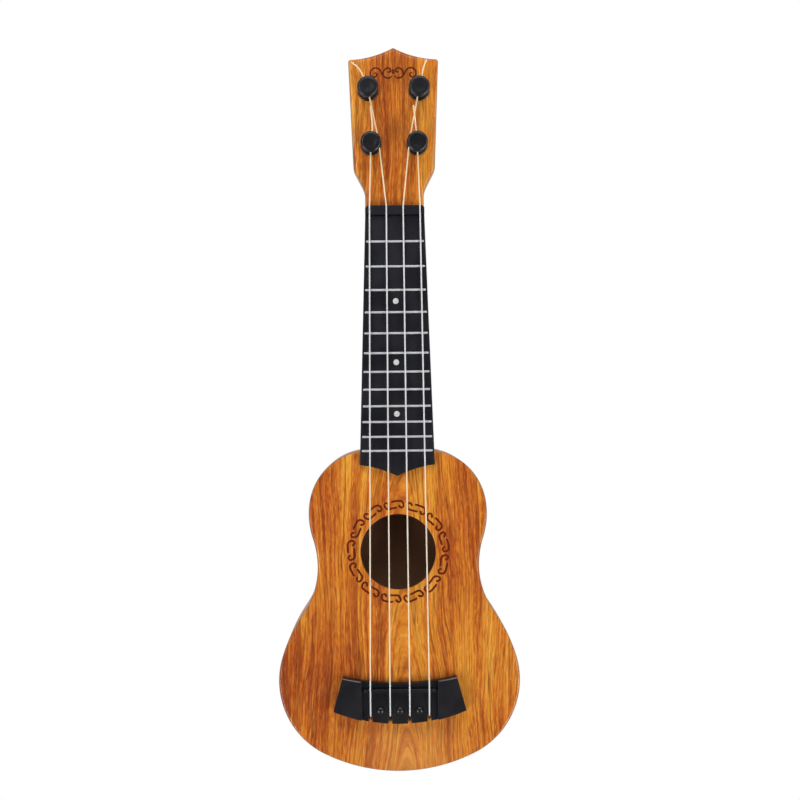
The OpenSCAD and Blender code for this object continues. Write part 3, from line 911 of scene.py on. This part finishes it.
def screw(s, x, z, y_under, y_top, r, tip_y, shaft_r):
    """Round-edged head with a cross recess, facing +Y, and its shaft."""
    rim = [s.ring(circle(x, z, r - w, 36), y_top - d) for w, d in round_over(0.5, 0.5, 4)]
    under = s.ring(circle(x, z, r, 36), y_under)
    arm, half = r * CROSS_ARM, r * CROSS_HALF
    cross = []
    for quarter in range(4):
        c, q = math.cos(quarter * math.pi / 2), math.sin(quarter * math.pi / 2)
        cross += [(x + px * c + pz * q, z - px * q + pz * c)
                  for px, pz in ((-half, arm), (half, arm), (half, half))]
    top = s.ring(cross, y_top)
    floor = s.ring([(x + (px - x) * CROSS_TAPER, z + (pz - z) * CROSS_TAPER) for px, pz in cross],
                   y_top - CROSS_DEPTH * r)
    s.cap(rim[0], [top])
    s.stack([*rim, under])
    s.join(top, floor)
    s.cap(floor)
    s.cap(under)
    s.lathe(x, z, [(0, tip_y), (shaft_r * 0.5, tip_y), (shaft_r, tip_y + shaft_r),
                   (shaft_r, y_under), (0, y_under)], 24)


def shell_screws():
    s = Shape()
    for x, z in BODY_SCREWS:
        screw(s, x, z, BODY_SEAT_Y, BODY_SEAT_Y + SCREW_HEAD_T, SCREW_HEAD_R, 1, SCREW_R)
    for x, z in [*HEAD_SCREWS, NECK_SCREW]:
        screw(s, x, z, NECK_SEAT_Y, NECK_SEAT_Y + SCREW_HEAD_T, SCREW_HEAD_R, INNER_Y + 1,
              SCREW_R)
    s.build("screws_zinc", [ZINC], replaces=("shell_screws",))


# ---------- fretboard ----------

def fret_z(n):
    return SCALE_TOP - SCALE_LENGTH * (1 - 2 ** (-n / 12))


def board_outline():
    """The board, with a shallow inward curve on each side of its pointed lower end."""
    half = neck_half_at(BOARD_END_Z)
    shares = [k / 14 for k in range(14)]
    end = [(half * (1 - t), BOARD_END_Z - BOARD_END_DROP * t ** BOARD_END_CURVE) for t in shares]
    sides = [(neck_half_at(z), z) for z in (SCALE_TOP, 280, 230)]
    return mirrored(sides + end + [(0, BOARD_END_Z - BOARD_END_DROP)])


BOARD_EDGE = 0.6


def fretboard():
    s = Shape()
    outline = board_outline()
    rings = [s.ring(inset(outline, BOARD_EDGE + 0.05), BOARD_Y)]
    rings += [s.ring(inset(outline, w), BOARD_Y + d)
              for w, d in round_over(BOARD_EDGE, BOARD_EDGE, 6)]
    rings.append(s.ring(outline, FRONT_Y - GAP))
    s.stack(rings)
    s.cap(rings[0])
    s.cap(rings[-1])
    s.build("fretboard_black", [BLACK], replaces=("fretboard",),
                   flats=True)


def frets():
    """Domed bars with round ends, seated in the board."""
    s = Shape()
    r = FRET_W / 2
    for n in range(1, FRET_COUNT + 1):
        z = fret_z(n)
        reach = neck_half_at(z) - FRET_GAP - r
        foot = fret_bar(z, reach, r)
        rings = [s.ring(foot, BOARD_Y + FRET_SEAT), s.ring(foot, BOARD_Y - FRET_WALL)]
        for k in range(1, 8):
            a = math.pi / 2 * k / 7.4
            y = BOARD_Y - FRET_WALL - (FRET_H - FRET_WALL) * math.sin(a)
            rings.append(s.ring(fret_bar(z, reach, r * math.cos(a)), y))
        s.stack(rings)
        s.cap(rings[0])
        s.cap(rings[-1])
    s.build("frets_grey", [FRET_GREY], replaces=("frets",), sharp=50)


def fret_dots():
    s = Shape()
    for n in DOT_FRETS:
        z = (fret_z(n) + fret_z(n + 1)) / 2
        s.lathe(0, z, [(0, BOARD_Y + 1), (DOT_R, BOARD_Y + 1), (DOT_R, BOARD_Y),
                       (DOT_R - 0.15, BOARD_Y - 0.07), (DOT_R * 0.6, BOARD_Y - 0.09),
                       (0, BOARD_Y - 0.1)], 48)
    s.build("fret_dots_white", [DOT_WHITE], replaces=("fret_markers",))


# ---------- pegs ----------

def peg(i):
    """Flange, post and slightly dished cap with a rounded rim, and the shaft through the head."""
    x, z = PEGS[i]
    foot, top, under = FRONT_Y - RUN, FRONT_Y - FLANGE_T, CAP_Y + CAP_T
    quarter = [math.pi / 8 * k for k in range(1, 5)]
    profile = [(0, KEY_Y + 2), (SHAFT_R, KEY_Y + 2), (SHAFT_R, foot), (FLANGE_R - 0.2, foot),
               (FLANGE_R, foot - 0.2), (FLANGE_R, top + 0.5)]
    profile += [(FLANGE_R - 0.6 * (1 - math.cos(a)), top + 0.5 - 0.5 * math.sin(a))
                for a in quarter]
    profile += [(POST_R + 0.5, top), (POST_R + 0.12, top - 0.15), (POST_R, top - 0.5),
                (POST_R, under + 0.4), (POST_R + 0.12, under + 0.12), (POST_R + 0.4, under),
                (CAP_R - 0.4, under), (CAP_R - 0.1, under - 0.1), (CAP_R, under - 0.4),
                (CAP_R, CAP_Y + 1.3)]
    profile += [(CAP_R - CAP_RIM * (1 - math.cos(a)), CAP_Y + 0.02 + 1.2 * (1 - math.sin(a)))
                for a in (math.pi / 20 * k for k in range(1, 11))]
    profile += [(CAP_R - CAP_RIM - 0.5, CAP_Y + 0.05), (2.6, CAP_Y + 0.22), (1.4, CAP_Y + 0.38),
                (0, CAP_Y + 0.42)]
    s = Shape()
    s.lathe(x, z, profile, 96)
    s.build(f"peg_{i + 1}_black", [PEG_BLACK], f"tuner_{i + 1}",
                   (f"peg_{i + 1}",), sharp=50)


def peg_key(i):
    """Turning key behind the head: a round hub and a rounded grip with a recess for its screw."""
    x, z = PEGS[i]
    grip_y, end_y = KEY_Y + KEY_HUB_T, KEY_Y + KEY_HUB_T + KEY_T
    s = Shape()
    s.lathe(x, z, [(0, KEY_Y), (KEY_HUB_R - 0.3, KEY_Y), (KEY_HUB_R, KEY_Y + 0.3),
                   (KEY_HUB_R, grip_y + 0.5), (0, grip_y + 0.5)], 48)
    outline = stadium(x, z, KEY_HALF, KEY_R)
    rings = [s.ring(inset(outline, w), grip_y + d) for w, d in round_over(0.7, 0.7, 4)]
    rings += [s.ring(inset(outline, w), end_y - d) for w, d in reversed(round_over(1.5, 1.5, 7))]
    s.stack(rings)
    s.cap(rings[0])
    mouth = [s.ring(circle(x, z, KEY_BORE_R + w, 32), end_y - d)
             for w, d in round_over(0.3, 0.3, 3)]
    floor = s.ring(circle(x, z, KEY_BORE_R, 32), KEY_Y + KEY_SEAT)
    s.stack([*mouth, floor])
    s.cap(floor)
    s.cap(rings[-1], [mouth[0]])
    s.build(f"peg_key_{i + 1}_black", [PEG_BLACK], f"tuner_{i + 1}",
                   (f"peg_key_{i + 1}",), sharp=45, flats=True)


def peg_screw(i):
    x, z = PEGS[i]
    s = Shape()
    seat = KEY_Y + KEY_SEAT
    screw(s, x, z, seat, seat + PEG_SCREW_HEAD_T, PEG_SCREW_HEAD_R, KEY_Y - PEG_SCREW_REACH,
          PEG_SCREW_R)
    s.build(f"peg_screw_{i + 1}_zinc", [ZINC], f"tuner_{i + 1}",
                   (f"peg_screw_{i + 1}",))


def washers():
    s = Shape()
    bore, back = SHAFT_R + RUN, KEY_Y - RUN
    for x, z in PEGS:
        s.lathe(x, z, [(bore, HEAD_Y), (WASHER_R - 0.3, HEAD_Y), (WASHER_R, HEAD_Y + 0.25),
                       (WASHER_R, KEY_Y - 0.3), (WASHER_R - 0.3, back), (bore, back),
                       (bore, HEAD_Y)], 48)
    s.build("washers_rubber", [RUBBER], replaces=("peg_washers",))


# ---------- bridge pins ----------

def bridge_pins():
    s = Shape()
    dome = (PIN_HEAD_R ** 2 + PIN_RISE ** 2) / (2 * PIN_RISE)
    for i in (-1, 0, 1):
        profile = [(0, INNER_Y + 2), (PIN_R, INNER_Y + 2), (PIN_R, BLOCK_Y), (PIN_HEAD_R, BLOCK_Y)]
        profile += [(x, BLOCK_Y - PIN_RISE + dome - math.sqrt(dome ** 2 - x ** 2))
                    for x in (PIN_HEAD_R * (1 - k / 12) for k in range(1, 12))]
        s.lathe(i * SADDLE_PITCH, PIN_Z, profile + [(0, BLOCK_Y - PIN_RISE)], 48)
    s.build("bridge_pins_black", [PIN_BLACK],
                   replaces=("bridge_pins",), sharp=50)


# ---------- strings ----------

def rounded_path(points, radius):
    """A path of Vectors whose corners are short curves, with long straight stretches kept."""
    points = [Vector(p) for p in points]
    path = [points[0]]
    for before, corner, after in zip(points, points[1:], points[2:]):
        reach = min(radius, 0.45 * (corner - before).length, 0.45 * (after - corner).length)
        start = corner + (before - corner).normalized() * reach
        end = corner + (after - corner).normalized() * reach
        for k in range(5):
            t = k / 4
            path.append((1 - t) ** 2 * start + 2 * t * (1 - t) * corner + t * t * end)
    return path + [points[-1]]


def post_point(i, r):
    lean = math.radians(POST_LEAN[i])
    return PEGS[i][0] - r * math.sin(lean), PEGS[i][1] - r * math.cos(lean)


def string(i):
    """Knot under the bridge, slot, saddle, nut, and up to its post."""
    xs, xn = (i - 1.5) * SADDLE_PITCH, (i - 1.5) * NUT_PITCH
    top_y, nut_y = SADDLE_Y - STRING_R, NUT_Y + 0.8 * STRING_R
    points = [(xs, FRONT_Y - 1.5, SLOT_Z - 0.2), (xs, FRONT_Y - 2.2, SLOT_Z - 0.9),
              (xs, BLOCK_Y + 0.4, SLOT_Z - 0.9), (xs, BLOCK_Y - 0.7, SLOT_Z + 0.1),
              (xs, top_y, SADDLE_Z - 1.1), (xs, top_y, SADDLE_Z + 1),
              (xn, nut_y, SCALE_TOP + 0.4), (xn, nut_y, NUT_TOP - 0.4)]
    if i in (1, 2):
        # the inner strings pass close by the posts of the lower pegs
        side, rub = (-1, 1)[i - 1], -PEGS[0][0] - POST_R - STRING_R - 0.35
        points += [(side * rub, ENTRY_Y - 0.1, PEGS[0][1] - 0.6),
                   (side * (rub + 0.3), ENTRY_Y - 0.1, PEGS[0][1] + 2.4)]
    end = post_point(i, POST_R + 0.3)
    path = rounded_path(points + [(end[0], ENTRY_Y, end[1])], 0.9)
    s = Shape()
    s.tube(path, [STRING_R] * len(path), 14)
    knot = [Vector((xs, FRONT_Y - 1.25 - 0.3 * k / 6, SLOT_Z + 2.0 - 2.2 * k / 6))
            for k in range(len(KNOT_RADII))]
    s.tube(knot, KNOT_RADII, 14)
    s.build(f"string_{i + 1}_nylon", [NYLON], replaces=(f"string_{i + 1}",),
                   sharp=60)


def string_tail(i):
    """The stretch in the post's hole and the free end above it."""
    low, high, far = (post_point(i, r) for r in (POST_R - 0.1, -POST_R, -POST_R - 1.2))
    points = [(low[0], ENTRY_Y, low[1]), (high[0], TAIL_Y[i], high[1]), (far[0], TAIL_Y[i], far[1])]
    points += [(PEGS[i][0] + x, TAIL_Y[i], PEGS[i][1] + z) for x, z in TAIL_ROUTE[i]]
    path = rounded_path(points, 2.5)
    s = Shape()
    s.tube(path, [STRING_R] * len(path), 14)
    s.build(f"string_tail_{i + 1}_nylon", [NYLON], f"tuner_{i + 1}",
                   (f"string_tail_{i + 1}",), sharp=60)


# ---------- printed ornament ----------

INK_RISE = 0.03
INK_SINK = 0.1
# Share of its width that a line has at its ends, and how fast it gets wider
INK_END = 0.45
INK_TAPER = 5
CURVE_STEPS = 6


def curve_through(points):
    """Smooth curve through listed (u, v) points."""
    ends = [Vector(p) for p in (points[0], *points, points[-1])]
    path = []
    for a, b, c, d in zip(ends, ends[1:], ends[2:], ends[3:]):
        for k in range(CURVE_STEPS):
            t = k / CURVE_STEPS
            path.append(0.5 * (2 * b + (c - a) * t + (2 * a - 5 * b + 4 * c - d) * t * t
                               + (3 * b - a - 3 * c + d) * t ** 3))
    return path + [ends[-1]]


def ink_line(s, path, width):
    """Flat ribbon of ink on the front face along (x, z) points, thinner at its ends."""
    left, right = [], []
    for i, p in enumerate(path):
        along = (path[min(i + 1, len(path) - 1)] - path[max(i - 1, 0)]).normalized()
        side = Vector((-along.y, along.x))
        t = i / (len(path) - 1)
        half = width / 2 * min(1, INK_END + INK_TAPER * min(t, 1 - t))
        left.append(p + side * half)
        right.append(p - side * half)
    top, low = FRONT_Y - INK_RISE, FRONT_Y + INK_SINK
    rows = [s.row([(p.x, y, p.y) for p in edge]) for edge, y in
            ((left, low), (left, top), (right, top), (right, low))]
    s.stack([*rows, rows[0]], closed=False)
    s.face([r[0] for r in rows])
    s.face([r[-1] for r in reversed(rows)])


ROSETTE_R = 28.1
ROSETTE_COUNT = 13
ROSETTE_LEAN = -4.5
ROSETTE_LINE = 1.25
SCROLL = [(-1.6, 1.4), (-0.6, 1.9), (0.9, 2.0), (2.6, 2.2), (4.4, 2.0), (5.3, 1.0), (5.7, -0.6),
          (5.2, -1.8)]
HOOK = [(5.2, -1.8), (4.2, -1.6), (3.3, -1.1), (3.0, -0.2)]


def rosette(s):
    """Ring of scrolls round the sound hole. Each is a line with a hook, and its half-turn copy."""
    for n in range(ROSETTE_COUNT):
        middle = 2 * math.pi * n / ROSETTE_COUNT + math.radians(ROSETTE_LEAN)
        for shape in (SCROLL, HOOK):
            for sign in (1, -1):
                path = []
                for u, v in curve_through(shape):
                    a = middle + sign * u / ROSETTE_R
                    r = ROSETTE_R + sign * v
                    path.append(Vector((r * math.sin(a), HOLE_Z + r * math.cos(a))))
                ink_line(s, path, ROSETTE_LINE)


FLOURISH_Z = 415.8
VINE_LINE = 0.95
DROP_LINE = 0.8
VINE = [(0.5, -1.5), (2.4, -2.9), (4.9, -2.5), (6.7, -0.2), (8.3, 2.3), (10.9, 3.1), (13.3, 1.5),
        (13.4, -1.2), (11.6, -2.5), (9.9, -1.5), (10.3, 0), (11.5, 0)]
SPRIG = [(6.2, -0.8), (5.4, 1.7), (3.5, 3.1), (1.7, 2.3), (1.8, 0.8), (3.2, 0.6)]
DROP = [(0, 2.2), (0.5, 0.9), (0, -0.3), (-0.5, 0.9), (0, 2.2)]


def flourish(s):
    """Plain symmetrical vine scrolls across the top of the head."""
    lines = [(shape, sign, VINE_LINE) for shape in (VINE, SPRIG) for sign in (-1, 1)]
    for shape, sign, width in [*lines, (DROP, 1, DROP_LINE)]:
        path = [Vector((sign * p.x, FLOURISH_Z + p.y)) for p in curve_through(shape)]
        ink_line(s, path, width)


def ornament():
    s = Shape()
    rosette(s)
    flourish(s)
    s.build("ornament_ink", [INK], sharp=30)


# ---------- stage ----------

MIDDLE = (0, -0.02, 0.2)
# Name, azimuth and elevation in degrees, distance, width and height, power, and target
LIGHTS = [("key_left", -42, -24, 1.35, (0.5, 0.8), 8.6, MIDDLE),
          ("key_right", 42, -24, 1.35, (0.5, 0.8), 8.7, MIDDLE),
          ("top_fill", 0, 55, 1.4, (1.3, 0.7), 9, MIDDLE),
          ("inside_glow", 0, -8, 0.045, (0.05, 0.03), 0.0052, (0, 0.03, 0.095)),
          ("strip_left", -25, 11, 0.3, (0.085, 0.12), 0.135, (-0.026, -0.018, 0.39)),
          ("strip_right", 48, 8, 0.3, (0.07, 0.2), 0.17, (0.026, -0.018, 0.34))]


def softbox(name, azimuth, elevation, distance, size, power, target):
    """Soft area light aimed at the target. Azimuth 0 is in front of the strings."""
    a, e = math.radians(azimuth), math.radians(elevation)
    away = Vector((math.sin(a) * math.cos(e), -math.cos(a) * math.cos(e), math.sin(e)))
    data = bpy.data.lights.new(name, "AREA")
    data.shape = "RECTANGLE"
    data.size, data.size_y = size
    data.energy = power
    light = placed(name, data)
    light.location = Vector(target) + away * distance
    light.rotation_euler = away.to_track_quat("Z", "Y").to_euler()


DIM = 0.10
BRIGHT = 0.70


def world_light():
    """White studio: bright behind and beside the object, dimmer on the camera's side."""
    world = bpy.data.worlds.new("studio")
    bpy.context.scene.world = world
    world.use_nodes = True
    w = Tree(world.node_tree)
    background = w.tree.nodes["Background"]
    background.inputs["Color"].default_value = (1, 1, 1, 1)
    facing = w.split(w.node("ShaderNodeTexCoord").outputs["Generated"])["Y"]
    seen = w.node("ShaderNodeLightPath").outputs["Is Camera Ray"]
    light = w.between(facing, -1.0, 0.25, DIM, BRIGHT)
    strength = w.node("ShaderNodeMix", {"Factor": seen, "A": light, "B": 1.0})
    w.feed(background.inputs["Strength"], strength.outputs["Result"])


FLOOR_HALF = 4


def pale_floor():
    mesh = bpy.data.meshes.new("floor")
    corners = [(x * FLOOR_HALF, y * FLOOR_HALF, 0)
               for x, y in ((-1, -1), (1, -1), (1, 1), (-1, 1))]
    mesh.from_pydata(corners, [], [(0, 1, 2, 3)])
    p = Paint("floor_white", Roughness=0.9, Specular_IOR_Level=0, Base_Color=(0, 0, 0, 1))
    p.shader.inputs["Emission Color"].default_value = (1, 1, 1, 1)
    p.shader.inputs["Emission Strength"].default_value = 1.0
    mesh.materials.append(p.material)
    floor = placed("floor", mesh)
    floor.visible_glossy = False
    floor.visible_diffuse = False
    floor.visible_shadow = False


CAMERA_PLACE = (-0.008, -0.940, 0.2137)
CAMERA_YAW = -0.62
CAMERA_PITCH = 0.44
CAMERA_ROLL = -0.61
CAMERA_LENS = 69.7


def camera():
    data = bpy.data.cameras.new("camera")
    data.lens = CAMERA_LENS
    made = placed("camera", data)
    made.location = CAMERA_PLACE
    yaw, pitch, roll = (math.radians(d) for d in (CAMERA_YAW, CAMERA_PITCH, CAMERA_ROLL))
    ahead = Vector((-math.sin(yaw) * math.cos(pitch), math.cos(yaw) * math.cos(pitch),
                    math.sin(pitch)))
    turn = ahead.to_track_quat("-Z", "Y").to_matrix()
    made.rotation_euler = (turn @ Matrix.Rotation(roll, 3, "Z")).to_euler()
    bpy.context.scene.camera = made


def studio():
    bpy.context.scene.view_settings.view_transform = "Standard"
    world_light()
    pale_floor()
    for light in LIGHTS:
        softbox(*light)
    camera()


# ---------- the instrument ----------

front_shell()
back_shell()
shell_screws()
fretboard()
frets()
fret_dots()
bevelled_copy("nut", "nut_black", BLACK, NUT_ROUND)
bevelled_copy("bridge", "bridge_black", BRIDGE_BLACK, BRIDGE_ROUND)
bevelled_copy("saddle", "saddle_black", BRIDGE_BLACK, SADDLE_ROUND)
bridge_pins()
washers()
ornament()
for number in range(4):
    string(number)
    string_tail(number)
    peg(number)
    peg_key(number)
    peg_screw(number)
studio()

bpy.context.view_layer.update()
